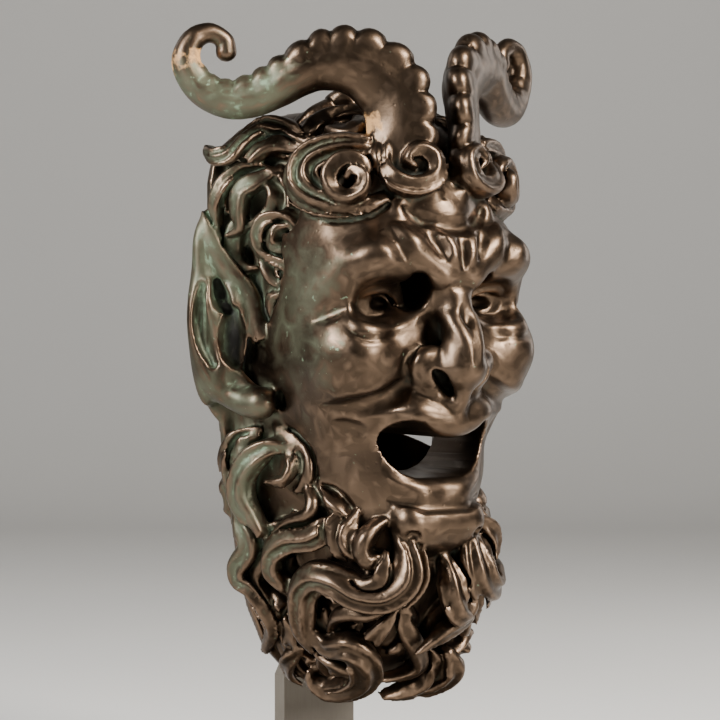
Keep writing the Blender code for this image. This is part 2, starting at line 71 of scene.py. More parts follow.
class Clay:
    def __init__(self):
        self.low = np.array(cast["low"], np.float32)
        self.step = cast["step"]
        self.axes = [np.arange(low, high + self.step, self.step, dtype=np.float32)
                     for low, high in zip(cast["low"], cast["high"])]
        self.field = np.full([len(a) for a in self.axes], cast["outside"], np.float32)

    def window(self, low, high):
        part = []
        for i in range(3):
            first = max(0, math.floor((low[i] - self.low[i]) / self.step))
            last = min(len(self.axes[i]), math.ceil((high[i] - self.low[i]) / self.step) + 1)
            part.append(slice(first, last))
        x = self.axes[0][part[0]][:, None, None]
        f = self.axes[1][part[1]][None, :, None]
        z = self.axes[2][part[2]][None, None, :]
        return tuple(part), (x, f, z)

    def merge(self, part, shape, blend):
        old, shape = self.field[part], shape.astype(np.float32)
        near = np.maximum(blend - np.abs(old - shape), 0) / max(blend, 1e-6)
        self.field[part] = np.minimum(old, shape) - near * near * blend * 0.25

    def carve(self, part, shape, blend):
        old, shape = self.field[part], shape.astype(np.float32)
        near = np.maximum(blend - np.abs(old + shape), 0) / max(blend, 1e-6)
        self.field[part] = np.maximum(old, -shape) + near * near * blend * 0.25

    def ball(self, centre, half, blend=4.0, cut=False):
        c, r = np.array(centre, float), np.array(half, float)
        pad = r + blend + 4
        part, axes = self.window(c - pad, c + pad)
        x, f, z = (a - c[i] for i, a in enumerate(axes))
        k0 = np.sqrt((x / r[0])**2 + (f / r[1])**2 + (z / r[2])**2)
        k1 = np.sqrt((x / r[0]**2)**2 + (f / r[1]**2)**2 + (z / r[2]**2)**2) + 1e-6
        (self.carve if cut else self.merge)(part, k0 * (k0 - 1) / k1, blend)

    def alongPath(self, points, radii, pad):
        big = radii.max() + pad
        part, axes = self.window(points.min(0) - big, points.max(0) + big)
        shape = np.full(np.broadcast_shapes(*(a.shape for a in axes)), cast["outside"], np.float32)
        for a, b, ra, rb in zip(points[:-1], points[1:], radii[:-1], radii[1:]):
            reach = max(ra, rb) + pad
            piece, (x, f, z) = self.window(np.minimum(a, b) - reach, np.maximum(a, b) + reach)
            at = tuple(slice(s.start - o.start, s.stop - o.start) for s, o in zip(piece, part))
            e = b - a
            t = ((x - a[0]) * e[0] + (f - a[1]) * e[1] + (z - a[2]) * e[2]) / max(float(e @ e), 1e-9)
            t = np.clip(t, 0, 1)
            far = np.sqrt((x - a[0] - t * e[0])**2 + (f - a[1] - t * e[1])**2 + (z - a[2] - t * e[2])**2)
            shape[at] = np.minimum(shape[at], far - (ra + (rb - ra) * t))
        return part, shape

    def tube(self, points, radii, blend=3.0, cut=False):
        line, size = smoothLine(points, radii)
        part, shape = self.alongPath(line, size, blend + 4)
        (self.carve if cut else self.merge)(part, shape, blend)

    # A thumb stroke: it raises the skin, or sinks it where the height is negative
    def stroke(self, points, width, height, ends=0.3):
        line, _ = smoothLine(points, 0.0)
        share = np.linspace(0, 1, len(line))
        size = width * np.interp(share, (0, 0.3, 0.7, 1), (ends, 1, 1, ends))
        part, shape = self.alongPath(line, size, 1.0)
        full = np.clip(-shape / width, 0, 1)
        self.field[part] -= height * (2 * full - full * full)**2

    def mesh(self):
        grid = openvdb.FloatGrid(background=3.0 * self.step)
        grid.copyFromArray(np.clip(self.field, -3 * self.step, 3 * self.step))
        points, _, quads = grid.convertToPolygons(isovalue=0.0, adaptivity=0.0)
        return points * self.step + self.low, quads


def smoothLine(points, radii, steps=6):
    p = np.array(points, float)
    rows = np.column_stack([p, np.broadcast_to(radii, len(p))])
    rows = np.vstack([2 * rows[0] - rows[1], rows, 2 * rows[-1] - rows[-2]])
    out = []
    for a, b, c, d in zip(rows, rows[1:], rows[2:], rows[3:]):
        for t in np.arange(steps) / steps:
            out.append(0.5 * (2 * b + (c - a) * t + (2 * a - 5 * b + 4 * c - d) * t * t
                              + (3 * b - a - 3 * c + d) * t**3))
    out.append(rows[-2])
    out = np.array(out)
    return out[:, :3], np.maximum(out[:, 3], 0.0)


def onSide(points, side):
    return [(p[0] * side, p[1], p[2]) for p in points]


# Crest of hair and beard, and places on it

crest = {
    # height, half width, extra half width at the back, reach forward
    "rows": [(-4, 16, 8, 34), (5, 28, 6, 52), (23, 40, 12, 74), (45, 50, 12, 88), (70, 56, 12, 98),
             (100, 60, 13, 100), (137, 61, 17, 92), (170, 60, 20, 84), (200, 60, 22, 84), (240, 63, 22, 96),
             (262, 64, 21, 104), (277, 60, 22, 100), (290, 50, 15, 84), (297, 36, 10, 62), (303, 16, 6, 36)],
    "power": 0.8,
    "backZone": 45.0,
    "drop": 10.0,  # the plain body lies this far under the crest
    "box": ((-100, -14, -8), (100, 125, 310)),  # corners of the clay that it takes up
    "blend": 4.0,
}
photo = {
    "millimetre": 340.0 / 668.0,  # mask millimetres in one pixel of the photograph
    "tipRow": 698,
    "middleColumn": 335,
    "forwardShare": 1.096,
    "acrossShare": 0.615,
    "nearest": 134.0,  # a line of sight is followed from here
    "farthest": 10.0,  # to here
    "pace": 0.5,
}


def crestSizes(height):
    rows = np.array(crest["rows"], float)
    return [np.interp(height, rows[:, 0], rows[:, i]) for i in (1, 2, 3)]


def onCrest(azimuth, height, lift):
    half, flare, reach = crestSizes(height)
    angle = math.radians(azimuth)
    f = (reach + lift) * abs(math.cos(angle))**crest["power"]
    width = half + lift + flare * max(0.0, 1 - f / crest["backZone"])
    return np.array([width * math.copysign(abs(math.sin(angle))**crest["power"], math.sin(angle)), f, height])


def underPixel(column, row, lift):  # the near-side crest point that the photograph shows there
    height = (photo["tipRow"] - row) * photo["millimetre"]
    options = np.array([onCrest(-a, height, lift) for a in np.linspace(-12, 96, 241)])
    seen = photo["middleColumn"] + photo["forwardShare"] * options[:, 1] \
        + options[:, 0] / photo["acrossShare"]
    return options[int(np.argmin(np.abs(seen - column)))]


def flowLine(azimuth, height, heading, length, sway, curl, rises, pieces=26):
    points = []
    for i in range(pieces + 1):
        t = i / pieces
        late = max(0.0, (t - 0.6) / 0.4)
        angle = math.radians(heading + sway * math.sin(1.8 * math.pi * t) + curl * late**1.6)
        points.append(onCrest(azimuth, height, np.interp(t, np.linspace(0, 1, len(rises)), rises)))
        degree = np.linalg.norm(onCrest(azimuth + 0.5, height, 0) - onCrest(azimuth - 0.5, height, 0))
        azimuth += math.cos(angle) * length / pieces / max(degree, 0.3)
        height += math.sin(angle) * length / pieces
    return np.array(points)


# Locks of hair: ribbons with strands, each set off by a cut beside it

lockShape = {
    "thickness": 0.62,  # these two are shares of the half width
    "strandDepth": 0.26,
    "gap": 2.0,
    "stem": 5.0,  # how far a lock reaches down into the body
    "rimKept": 7.0,  # no cut beside a lock comes nearer to the back than this
    "endCap": 0.6,
    "cutBlend": 1.0,
    "blend": 1.2,
    "widths": (0.35, 1.0, 0.95, 0.7, 0.12),
}


def sweptFrame(points, tilt):
    along = np.gradient(points, axis=0)
    along /= np.linalg.norm(along, axis=1)[:, None] + 1e-9
    outward = points - np.array([0, 20, 170])
    outward[:, 2] *= 0.25
    outward -= (outward * along).sum(1)[:, None] * along
    outward /= np.linalg.norm(outward, axis=1)[:, None] + 1e-9
    across = np.cross(along, outward)
    c, s = math.cos(tilt), math.sin(tilt)
    return along, across * c + outward * s, outward * c - across * s


def nearestOnLine(clay, points, reach):
    part, axes = clay.window(points.min(0) - reach.max(), points.max(0) + reach.max())
    shape = np.broadcast_shapes(*(a.shape for a in axes))
    spots = np.stack([np.broadcast_to(a, shape).reshape(-1) for a in axes], 1)
    keep = np.zeros(len(spots), bool)
    for p, r in zip(points[::2], reach[::2]):
        keep |= ((spots - p.astype(np.float32))**2).sum(1) < r * r
    index = np.nonzero(keep)[0]
    spots = spots[index]
    best = np.full(len(spots), 1e9, np.float32)
    near = np.zeros(len(spots), np.int32)
    for i, p in enumerate(points):
        far = ((spots - p.astype(np.float32))**2).sum(1)
        closer = far < best
        best[closer] = far[closer]
        near[closer] = i
    return part, shape, index, spots, near


def spread(shape, index, values):
    full = np.full(shape, cast["outside"], np.float32)
    full.reshape(-1)[index] = values
    return full


def lock(clay, points, width, strands, seed=0.0, tilt=0.0, gap=None, depth=None, widths=None):
    gap = lockShape["gap"] if gap is None else gap
    depth = lockShape["strandDepth"] if depth is None else depth
    widths = widths or lockShape["widths"]
    along, across, outward = sweptFrame(points, tilt)
    share = np.linspace(0, 1, len(points))
    half = width / 2 * np.interp(share, np.linspace(0, 1, len(widths)), widths)
    part, shape, index, spots, near = nearestOnLine(clay, points, half * 1.2 + 8)
    offset = spots - points[near]
    w = (offset * along[near]).sum(1)
    u = (offset * across[near]).sum(1)
    v = (offset * outward[near]).sum(1)
    a = half[near]
    c = a * lockShape["thickness"]
    at = share[near]
    crown = (np.sqrt((u / a)**2 + (v / c)**2) - 1) * np.minimum(a, c)
    stem = (np.sqrt((u / (0.82 * a))**2 + (v / (c + lockShape["stem"]))**2) - 1) * 0.82 * a
    body = np.where(v > 0, crown, stem)
    wave = np.cos(math.pi * (u / a * strands + 0.35 * np.sin(at * 7 + seed) + seed))
    uneven = 0.65 + 0.6 * (0.5 + 0.5 * np.sin(at * 5.0 + seed * 3 + 1.0))
    cuts = depth * a * (0.5 - 0.5 * wave) * uneven * np.clip((v + 0.35 * c) / (0.35 * c), 0, 1)
    cuts *= np.clip(at / 0.1, 0.2, 1) * np.clip((1 - at) / 0.15, 0.2, 1)
    atEnd = (near == 0) | (near == len(points) - 1)
    ends = np.where(atEnd, np.abs(w) - lockShape["endCap"], -cast["outside"])
    if gap > 0:
        moat = (np.sqrt((u / (a + gap))**2 + (v / (c + 1.2))**2) - 1) * np.minimum(a, c)
        moat = np.maximum(moat, -v - 0.75 * c)
        moat = np.maximum(moat, ends) - np.clip((at - 0.12) * 30, -4, 0)
        moat = np.maximum(moat, lockShape["rimKept"] - spots[:, 1])
        clay.carve(part, spread(shape, index, moat), lockShape["cutBlend"])
    clay.merge(part, spread(shape, index, np.maximum(body + cuts, ends)), lockShape["blend"])


rollWidths = (0.6, 1.0, 1.0, 0.8, 0.45, 0.3, 0.2)
longWidths = (0.4, 1.0, 1.0, 0.85, 0.8, 0.7, 0.35)
hairLocks = [
    # width, strands, lift over the crest, then pixels of the near side with a rise each
    (25, 3.5, -3, [(384, 150, -2), (356, 148, 2), (330, 152, 4), (309, 164, 6), (303, 182, 7),
        (315, 198, 7), (340, 207, 6), (366, 206, 4), (384, 198, 0)], (0.4, 0.75, 1, 1, 0.8, 0.5, 0.3)),
    (11, 1.5, -2, [(370, 174, 3), (358, 164, 6), (342, 164, 8), (331, 176, 9), (334, 191, 9), (348, 198, 9),
        (361, 191, 9), (363, 178, 9), (352, 173, 8), (346, 181, 6)], (0.5, 1, 1, 0.9, 0.8, 0.6, 0.3)),
    (15, 2, -3, [(392, 150, 0), (386, 165, 2), (395, 180, 4), (412, 186, 5), (431, 178, 6), (432, 160, 7),
        (418, 152, 7), (408, 161, 6), (416, 170, 5)]),
    (8, 1, -4, [(386, 138, 0), (378, 156, 2), (377, 176, 1)]),
    (8, 1, -4, [(400, 138, 0), (389, 150, 2), (385, 168, 3)]),
    (11, 2, -3, [(316, 233, -2), (304, 233, 1), (293, 221, 3), (278, 216, 5), (263, 221, 6), (257, 236, 6),
        (263, 251, 5), (277, 258, 5), (290, 266, 5), (292, 279, 5), (283, 291, 4), (272, 299, 3),
        (274, 313, 1), (281, 320, -2)], longWidths),
    (8.5, 1.5, -3, [(300, 243, -2), (285, 249, 2), (273, 243, 4), (275, 229, 5), (289, 225, 4)]),
    (7, 1, -3, [(260, 250, 1), (268, 272, 3), (278, 282, 3), (284, 272, 2)]),
    (18, 3, -3, [(314, 146, -1), (297, 138, 2), (280, 131, 4), (263, 131, 6), (246, 143, 8), (231, 156, 9),
        (216, 157, 9), (206, 150, 8)], longWidths),
    (11, 1.5, -4, [(302, 152, 0), (280, 146, 3), (262, 151, 5), (248, 162, 6), (230, 169, 5)]),
    (14, 2, -3, [(264, 168, 0), (243, 173, 3), (224, 186, 6), (214, 205, 7), (218, 227, 6)]),
    (11, 1.5, -3, [(262, 177, 0), (244, 185, 3), (231, 199, 5), (229, 219, 5)]),
    (12, 1.5, -3, [(282, 170, -2), (259, 181, 2), (242, 192, 5), (239, 212, 6), (241, 228, 6),
        (225, 236, 6)]),
    (10, 1, -4, [(264, 180, 1), (274, 196, 2), (272, 212, 2), (259, 222, 3), (244, 227, 3)]),
    (15, 2, -4, [(300, 148, 0), (312, 128, 2), (330, 116, 3), (356, 112, 3), (378, 120, 2)]),
]
beardLocks = [
    (17, 2, -3, [(293, 447, -2), (272, 446, 2), (253, 459, 5), (242, 478, 6), (240, 497, 6), (248, 514, 6),
        (257, 530, 6), (262, 550, 5), (271, 569, 5), (287, 585, 5), (300, 597, 4),
        (303, 618, 3)], longWidths),
    (10, 1.5, -3, [(288, 446, 0), (292, 462, 3), (283, 478, 5), (264, 480, 5)]),
    (13, 2, -4, [(262, 428, -2), (237, 440, 2), (227, 460, 4), (229, 484, 5), (235, 510, 4)]),
    (9, 1, -4, [(258, 434, 0), (241, 446, 3), (234, 462, 3), (240, 472, 2)]),
    (16, 2, -3, [(234, 498, 2), (241, 526, 4), (249, 545, 5), (237, 566, 6), (238, 582, 6), (250, 592, 5),
        (262, 610, 4), (271, 632, 3), (263, 656, 1)], longWidths),
    (10, 1, -5, [(258, 543, 0), (263, 560, 2), (253, 578, 3), (263, 596, 2), (278, 620, 1)]),
    (19, 2.5, -3, [(338, 498, -4), (334, 518, 1), (313, 532, 4), (289, 536, 6), (275, 549, 7),
        (272, 567, 7), (281, 582, 6), (297, 594, 5)]),
    (10, 1, -3, [(304, 476, -3), (312, 498, 1), (308, 512, 3), (288, 520, 4), (272, 531, 4)]),
    (10, 1.5, -3, [(343, 500, -3), (333, 522, 2), (337, 543, 3), (347, 554, 2)]),
    (11, 1.5, -3, [(358, 505, -4), (348, 527, 2), (348, 542, 4), (358, 554, 3)]),
    (12, 1.5, -3, [(391, 511, -4), (371, 525, 3), (363, 541, 6), (369, 554, 6), (381, 549, 6),
        (384, 541, 5)]),
    (25, 3, -3, [(396, 518, -5), (408, 546, 2), (405, 572, 7), (384, 588, 9), (357, 587, 9), (333, 575, 8),
        (315, 573, 7), (304, 586, 6), (302, 608, 6), (305, 630, 6), (317, 648, 6)], longWidths),
    (10, 1, -3, [(350, 562, 3), (363, 575, 8), (377, 571, 9), (384, 556, 7), (388, 543, 4)]),
    (11, 1.5, -3, [(329, 630, 2), (336, 613, 4), (350, 606, 6), (368, 607, 7), (384, 601, 7),
        (395, 590, 4)]),
    (12, 1.5, -3, [(330, 634, 3), (351, 640, 6), (369, 633, 7), (385, 617, 7), (397, 600, 5)]),
    (21, 2.5, -3, [(308, 624, 3), (326, 643, 6), (349, 643, 8), (365, 657, 9), (365, 677, 9), (349, 692, 9),
        (327, 697, 8), (310, 688, 6), (307, 674, 4)]),
    (11, 1.5, -3, [(316, 653, 4), (334, 664, 7), (351, 669, 7), (360, 662, 6)]),
    (11, 1.5, -4, [(302, 648, 0), (289, 663, 3), (289, 682, 3), (301, 694, 2)]),
    (14, 2, -8, [(262, 600, -3), (280, 640, -3), (300, 676, 0), (326, 694, 0)]),
]
chinLocks = [
    # width, strands, then mask points; these have no twin
    (17, 2, [(4, 92, 76), (5, 97, 65), (6, 99, 54), (10, 98, 46), (17, 95, 45), (18, 93, 53)]),
    (15, 2, [(15, 94, 60), (22, 91, 53), (18, 91, 44), (5, 90, 35), (-7, 84, 25)]),
    (16, 2, [(3, 76, 26), (10, 69, 20), (17, 64, 13), (14, 60, 5), (2, 58, 1), (-10, 58, 0)]),
    (12, 1.5, [(-12, 84, 52), (-13, 82, 42), (-5, 78, 31), (0, 74, 25), (6, 68, 16), (0, 63, 11),
        (-15, 60, 9)]),
    (19, 2.5, [(27, 82, 88), (30, 87, 72), (27, 88, 54), (33, 80, 38)]),
    (17, 2, [(20, 74, 24), (28, 68, 12), (22, 58, 3), (8, 54, 0)]),
]
fillLocks = {
    "width": 13.0,
    "rises": (-8, -5, -4, -5),  # over the crest, from root to tip
    # azimuths, heights, length, sway, curls
    "beard": ((82, 70, 56, 40, 20), (132, 104, 76, 50), 48, 38, (90, -100, 75, -80)),
    "hair": ((84, 74, 62), (288, 270, 250), 42, 34, (80, -85, 70, -75)),
}
backRim = {
    # the plain edge at the flat back that the hair stands on
    "box": ((-100, -14, -8), (100, 9, 310)),
    "inset": 6,
    "foot": 6,
    "top": 292,
    "depth": 5,
    "blend": 2.0,
}


def fillLines():  # plain wavy locks that show only between the drawn ones
    lines = []

    def add(kind, k, azimuth, height, heading):
        length, sway, curls = fillLocks[kind][2:]
        sway = sway if k % 2 else -sway
        lines.append(flowLine(azimuth, height, heading, length, sway, curls[k], fillLocks["rises"]))

    for i, azimuth in enumerate(fillLocks["beard"][0]):
        for j, height in enumerate(fillLocks["beard"][1]):
            k = (i * 7 + j * 5) % 4
            if azimuth >= 60 or height <= (90 if azimuth < 45 else 110):
                add("beard", k, -azimuth - 3 * ((i + j) % 2), height + 6 * (k - 1.5), -95 + 14 * (k - 1.5))
    for i, azimuth in enumerate(fillLocks["hair"][0]):
        for j, height in enumerate(fillLocks["hair"][1]):
            k = (i * 3 + j * 5) % 4
            if azimuth >= 70 or height >= 260:
                add("hair", k, -azimuth, height, 15 - 45 * j + 10 * (k - 1.5))
    return lines


def addHair(clay):
    for n, line in enumerate(fillLines()):
        for side in (-1, 1):
            turned = line * np.array([-side, 1, 1])
            lock(clay, turned, fillLocks["width"], 1.5, seed=n * 0.7, tilt=0.2 * side)
    report("filling locks laid")
    for n, (width, strands, lift, spots, *shape) in enumerate(hairLocks + beardLocks):
        near = [underPixel(column, row, lift + rise) for column, row, rise in spots]
        line, _ = smoothLine(near, 0.0, 7)
        for side in (-1, 1):
            turned = line * np.array([-side, 1, 1])
            lock(clay, turned, width, strands, seed=n * 1.3 + side * 0.4, tilt=0.25 * side,
                 widths=shape[0] if shape else None)
    for n, (width, strands, points) in enumerate(chinLocks):
        line, _ = smoothLine(points, 0.0, 8)
        lock(clay, line, width, strands, seed=n * 2.3)
    report("drawn locks laid")


def addBackRim(clay):
    part, (x, f, z) = clay.window(*backRim["box"])
    half, flare, _ = crestSizes(z)
    edge = np.maximum(np.abs(x) - (half + flare - backRim["inset"]),
                      np.maximum(backRim["foot"] - z, z - backRim["top"]))
    clay.merge(part, np.maximum(edge, f - backRim["depth"]), backRim["blend"])


# Horns with rings, a knobbed keel and side grooves

horn = {
    # distance from the middle, forward, up, half depth of the section, and its thickness as a share of that
    "rows": [(18.5, 88, 270, 18, 0.46), (19.5, 87.5, 285, 18, 0.46), (19.5, 85.5, 298, 18.5, 0.48),
             (22, 81, 309, 19, 0.52), (30, 75, 318, 18, 0.58), (40, 68, 322, 16.5, 0.66),
             (49, 61, 321, 15, 0.74), (58, 55, 316.5, 12.8, 0.84), (67, 47, 309.5, 11.5, 0.92),
             (77, 39, 304, 10.8, 0.96), (87, 32, 303, 9.8, 1), (97, 25, 309, 8.8, 1),
             (103.5, 21.5, 321, 7.5, 1), (100.5, 23, 332, 6.2, 1), (93, 26, 336, 5.2, 1),
             (86, 29, 332.5, 4.8, 1), (85, 29.5, 327, 5.4, 1)],
    "keelWay": (-0.45, 0.50, 0.74),  # the knobbed edge looks in, forward and up
    "core": 0.97,  # share of the radius that the rings and knobs rise from
    "ringPitch": 10.5,
    "ringDepth": 0.06,
    "ringMiddle": 0.7,
    "ringSpread": 1.7,  # how far round a ring runs, as an angle from the keel
    "swellPower": 0.6,
    "knob": 0.17,
    "knobMiddle": 0.45,
    "knobSpread": 0.75,
    "groove": 0.07,
    "grooveAngle": 1.0,
    "grooveWidth": 0.22,
    "curlRun": 75.0,  # the last of the horn, where the knobs die away
    "blend": 1.5,
}


def addHorn(clay, side):
    rows = horn["rows"]
    way = onSide(rows, side)
    points, sizes = smoothLine(way, [row[3] for row in rows], 10)
    thin = smoothLine(way, [row[4] for row in rows], 10)[1]
    along = np.gradient(points, axis=0)
    along /= np.linalg.norm(along, axis=1)[:, None]
    keelWay = np.array(horn["keelWay"]) * (side, 1, 1)
    outward = keelWay - (along @ keelWay)[:, None] * along
    outward /= np.linalg.norm(outward, axis=1)[:, None]
    across = np.cross(along, outward)
    run = np.concatenate([[0], np.cumsum(np.linalg.norm(np.diff(points, axis=0), axis=1))])
    part, shape, index, spots, near = nearestOnLine(clay, points, sizes + 8)
    offset = spots - points[near]
    flat = thin[near]
    u = (offset * across[near]).sum(1) / flat
    v = (offset * outward[near]).sum(1)
    w = (offset * along[near]).sum(1)
    s = run[near] + w
    r = sizes[near]
    angle = np.arctan2(u, v)
    wander = 1.4 * np.sin(s * 0.071 + 1.1) + 0.8 * np.sin(s * 0.173 + 0.4)
    turn = (s + wander) / horn["ringPitch"] + 0.10 * np.cos(angle)
    swell = np.abs(np.sin(np.pi * turn))**horn["swellPower"]
    rings = horn["ringDepth"] * r * (swell - horn["ringMiddle"]) * np.exp(-(angle / horn["ringSpread"])**2)
    knobs = horn["knob"] * r * (swell - horn["knobMiddle"]) * np.exp(-(angle / horn["knobSpread"])**4)
    grooves = -horn["groove"] * r * np.exp(-((np.abs(angle) - horn["grooveAngle"]) / horn["grooveWidth"])**2)
    fade = np.clip((run[-1] - s) / horn["curlRun"], 0.05, 1)
    body = (np.sqrt(u * u + v * v) - (r * horn["core"] + (rings + knobs + grooves) * fade)) * flat**0.5
    atTip = near == len(points) - 1
    cap = np.where(atTip, np.sqrt(u * u + v * v + np.maximum(w, 0)**2) - r, -cast["outside"])
    clay.merge(part, spread(shape, index, np.maximum(body, cap)), horn["blend"])


# The head under the hair

head = {
    # balls of clay: centre, half sizes, blend
    "middle": [((0, 44, 222), (57, 62, 64), 10), ((0, 20, 170), (60, 36, 110), 14),
               ((0, 69, 93), (27, 24, 20), 10), ((0, 84, 148), (34, 25, 20), 12),
               ((0, 83, 93), (20, 20, 17), 8), ((0, 92, 226), (22, 21, 20), 10)],
    "sides": [((20, 44, 185), (42, 52, 66), 14), ((16, 44, 120), (34, 46, 42), 14),
              ((30, 50, 226), (31, 50, 42), 12), ((38, 60, 178), (23, 34, 42), 14),
              ((45, 80, 177), (18, 19, 21), 12), ((13, 73, 112), (17, 19, 22), 10),
              ((11, 90, 92), (12, 12, 14), 7)],
    "back": -14,  # where the plain body is cut off
    "foot": 6,
    "top": 299,
}


def crestBody(clay, drop, back, low, high):
    part, (x, f, z) = clay.window(*crest["box"])
    half, flare, reach = crestSizes(z)
    half, reach = half - drop, reach - drop
    width = half + flare * np.clip(1 - f / crest["backZone"], 0, 1)
    power = 2 / crest["power"]
    sideways = np.abs(x / np.maximum(width, 4))**power
    forward = np.abs(np.maximum(f, 0) / np.maximum(reach, 4))**power
    ring = (sideways + forward)**(1 / power)
    shape = np.maximum((ring - 1) * np.minimum(width, reach), np.maximum(low - z, z - high))
    shape = np.maximum(shape, back - f)
    clay.merge(part, shape, crest["blend"])


def addHead(clay):
    for centre, half, blend in head["middle"]:
        clay.ball(centre, half, blend)
    for centre, half, blend in head["sides"]:
        for side in (-1, 1):
            clay.ball(onSide([centre], side)[0], half, blend)
    crestBody(clay, crest["drop"], head["back"], head["foot"], head["top"])


def onSkin(clay, spots):  # where the photograph's pixels meet the clay's near side
    points = []
    for column, row in spots:
        f = np.arange(photo["nearest"], photo["farthest"], -photo["pace"])
        x = (column - photo["middleColumn"] - photo["forwardShare"] * f) * photo["acrossShare"]
        z = np.full_like(f, (photo["tipRow"] - row) * photo["millimetre"])
        index = np.round((np.stack([x, f, z], 1) - clay.low) / clay.step).astype(int)
        index = np.clip(index, 0, np.array(clay.field.shape) - 1)
        inside = clay.field[index[:, 0], index[:, 1], index[:, 2]] < 0
        first = int(np.argmax(inside)) if inside.any() else len(f) - 1
        points.append((x[first], f[first], z[first]))
    return points


def drawn(clay, spots, width, height):  # a stroke through photograph pixels, and its twin
    points = onSkin(clay, spots)
    for side in (1, -1):
        if len(points) == 1:
            clay.stroke(onSide(points * 2, side), width, height, 1.0)
        else:
            clay.stroke(onSide(points, side), width, height)


drill = {
    "pace": 1.5,
    "taper": 0.35,
    "blend": 1.0,
}


# A hole through photograph pixels, along the line of sight, and its twin
def drilled(clay, spots, radius, depth):
    points = onSkin(clay, spots)
    sideways = photo["forwardShare"] * photo["acrossShare"]
    for step in np.arange(0, depth, drill["pace"]):
        inner = [(x + step * sideways, f - step, z) for x, f, z in points]
        narrowed = [r * (1 - drill["taper"] * step / depth) for r in radius]
        for side in (1, -1):
            clay.tube(onSide(inner, side), narrowed, drill["blend"], cut=True)


eye = {
    # balls: centre, half sizes, blend; tubes: points, radii, blend
    "socket": ((35, 103, 203), (18, 22, 12.5), 6),
    "innerCorner": ((19, 94, 212), (9, 20, 14), 2.5),
    "ball": ((35.5, 71.5, 200.5), (18, 15, 14.5), 1.5),
    "upperLid": ([(17, 84, 201), (24, 88, 210.5), (34, 88.5, 213.5), (44, 83, 210), (54, 73, 200)],
                 [2.0, 3.0, 3.6, 3.2, 2.4], 1.2),
    "lidEdge": ([(18, 84, 199), (25, 88, 206), (34, 89, 208.5), (43, 84.5, 206), (53, 74, 198)],
                [1.0, 1.5, 1.7, 1.5, 1.1], 0.8),
    "lowerLid": ([(18, 84, 199), (25, 87, 194), (34, 87.5, 191.5), (43, 82.5, 192.5), (53, 74, 198)],
                 [1.6, 2.4, 2.9, 2.6, 1.9], 1.0),
    "brow": ([(30, 98, 225), (37, 95, 227), (44, 87, 222.5), (50, 76, 213), (55, 62, 202)],
             [8, 10, 9.5, 7.5, 5], 14),
}


def addEye(clay, side):
    for name in ("socket", "innerCorner", "ball"):
        centre, half, blend = eye[name]
        clay.ball(onSide([centre], side)[0], half, blend, cut=name != "ball")
    for name in ("upperLid", "lidEdge", "lowerLid", "brow"):
        points, radii, blend = eye[name]
        clay.tube(onSide(points, side), radii, blend)


# Strokes and holes drawn on the face where the photograph shows them

acrossStrokes = {
    # width and height in millimetres, then pixels; these run on over the middle to the other side
    "forehead roll": (17, 5.0, [(396, 201), (420, 198), (440, 202), (452, 203)]),
    "forehead crease": (7, -4.2, [(396, 206), (408, 214), (424, 224), (438, 228), (452, 224)]),
    "nose root crease": (3.6, -2.6, [(440, 287), (450, 285), (458, 285)]),
    "lower lip": (6.5, 3.8, [(386, 470), (400, 478), (420, 484), (436, 485)]),
    "lip crease": (4.6, -3.8, [(386, 492), (402, 497), (422, 500), (436, 500)]),
}
faceStrokes = {
    # the same, for strokes with a twin on the other side
    "forehead hook": (6, 2.2, [(404, 220), (396, 212), (399, 203), (416, 199)]),
    "inner ridge": (8, 4.0, [(412, 228), (432, 236), (448, 252), (458, 272)]),
    "outer ridge": (10, 5.5, [(394, 226), (408, 240), (424, 260), (440, 275), (455, 272)]),
    "ridge groove": (5.5, -5.5, [(422, 230), (436, 244), (444, 260)]),
    "brow valley": (9, -2.4, [(384, 232), (396, 244), (404, 256)]),
    "brow swell": (15, 3.0, [(352, 268), (376, 258), (396, 262)]),
    "temple hollow": (18, -2.5, [(345, 236), (362, 226), (385, 216)]),
    "bag": (7, 2.2, [(350, 317), (368, 326), (390, 324)]),
    "bag crease": (4, -1.6, [(346, 326), (364, 335), (388, 335), (402, 328)]),
    "crow's foot": (6, -1.8, [(346, 304), (332, 312), (314, 320)]),
    "cheek": (17, 3.0, [(356, 350), (384, 346)]),
    "fold ridge": (10, 3.5, [(424, 322), (408, 343), (392, 362), (366, 380), (335, 391)]),
    "smile fold": (8.5, -4.2, [(412, 371), (398, 386), (376, 396), (350, 402), (322, 402)]),
    "wing": (6, 4.0, [(412, 380), (411, 364), (418, 353), (430, 348), (438, 350)]),
    "wing crevice": (4.2, -6, [(407, 382), (404, 366), (408, 352), (418, 342)]),
    "nose ridge": (6, 3.0, [(436, 308), (450, 320), (463, 340), (467, 358)]),
    "nose side": (9, -1.8, [(418, 314), (430, 326), (446, 336)]),
    "lip rim": (4.2, 2.5, [(420, 384), (432, 391), (447, 398), (461, 402)]),
    "lip": (10, 4.0, [(396, 404), (420, 410), (444, 420), (464, 424)]),
    "corner dent": (6, -2.0, [(366, 428), (352, 422), (334, 416)]),
    "chin boss": (13, 4.0, [(406, 515)]),
}
drillings = {
    # radii in millimetres, depth, then pixels
    "pupil": ((2.4, 3.6, 2.4), 6, [(374, 303), (378, 302), (382, 303)]),
    "nostril": ((1.6, 3.2, 3.2, 1.8), 10, [(432, 368), (437, 373), (443, 380), (448, 387)]),
    "chin plug": ((3.0, 3.0), 1.5, [(411, 528), (413, 528)]),
}


